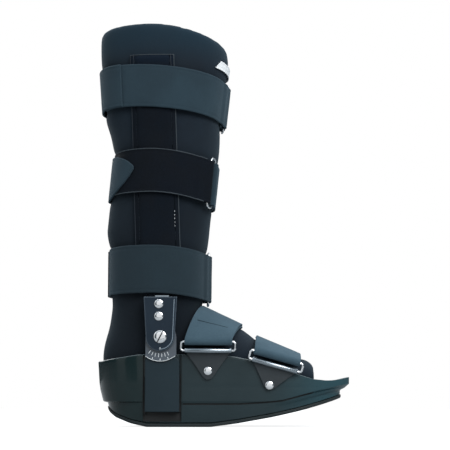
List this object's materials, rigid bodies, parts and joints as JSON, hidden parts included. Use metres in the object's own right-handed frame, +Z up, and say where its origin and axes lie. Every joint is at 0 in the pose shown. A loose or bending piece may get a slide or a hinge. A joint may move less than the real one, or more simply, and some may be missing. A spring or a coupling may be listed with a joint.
{
  "type": "medical walking boot",
  "caption": "Tall medical walking boot: padded hollow liner in a rocker-soled foot shell, side uprights with ankle dials, and webbing straps with wire rings.",
  "frame": {"origin": "on the floor, on the flat middle stretch of the outsole, straight below the ankle pivot", "axes": "+X to the toe, +Z up the leg, -Y the side with the wire rings of the foot straps"},
  "size_m": [0.2759, 0.1395, 0.435],
  "materials": {
    "foam_cloth": "brushed cloth over foam",
    "label_cloth": "smooth woven label, blank",
    "sleeve_cloth": "dark velvet pile",
    "hinge_plastic": "satin moulded plastic",
    "dial_plastic": "smooth grey",
    "bright_metal": "bright nickel",
    "ring_wire": "polished wire",
    "shell_plastic": "moulded, glossy at the heel",
    "sole_rubber": "fine-ribbed rubber",
    "tab_plastic": "satin",
    "foot_webbing": "brushed loop webbing",
    "pile_band": "dark pile with piped edges",
    "leg_webbing": "brushed loop webbing"
  },
  "bodies": {
    "root": {"liner": "foam_cloth", "front_label": "label_cloth", "upright_near": "sleeve_cloth", "upright_far": "sleeve_cloth", "hinge_cover_near": "hinge_plastic", "hinge_cover_far": "hinge_plastic", "dial_plate_near": "dial_plastic", "dial_plate_far": "dial_plastic", "pivot_screw_near": "bright_metal", "pivot_screw_far": "bright_metal", "hinge_rivet_near_1": "bright_metal", "hinge_rivet_near_2": "bright_metal", "hinge_rivet_far_1": "bright_metal", "hinge_rivet_far_2": "bright_metal", "foot_shell": "shell_plastic", "outsole": "sole_rubber", "instep_tab": "tab_plastic", "toe_tab": "tab_plastic", "instep_tab_rivet": "bright_metal", "toe_tab_rivet": "bright_metal", "instep_ring": "ring_wire", "toe_ring": "ring_wire", "instep_strap": "foot_webbing", "toe_strap": "foot_webbing", "instep_strap_rivet": "bright_metal", "toe_strap_rivet": "bright_metal", "top_strap_near": "leg_webbing", "top_strap_far": "leg_webbing", "top_ring": "ring_wire", "middle_band": "pile_band", "middle_strap": "leg_webbing", "middle_ring": "ring_wire", "lower_strap_near": "leg_webbing", "lower_strap_far": "leg_webbing", "lower_ring": "ring_wire"}
  },
  "joints": []
}
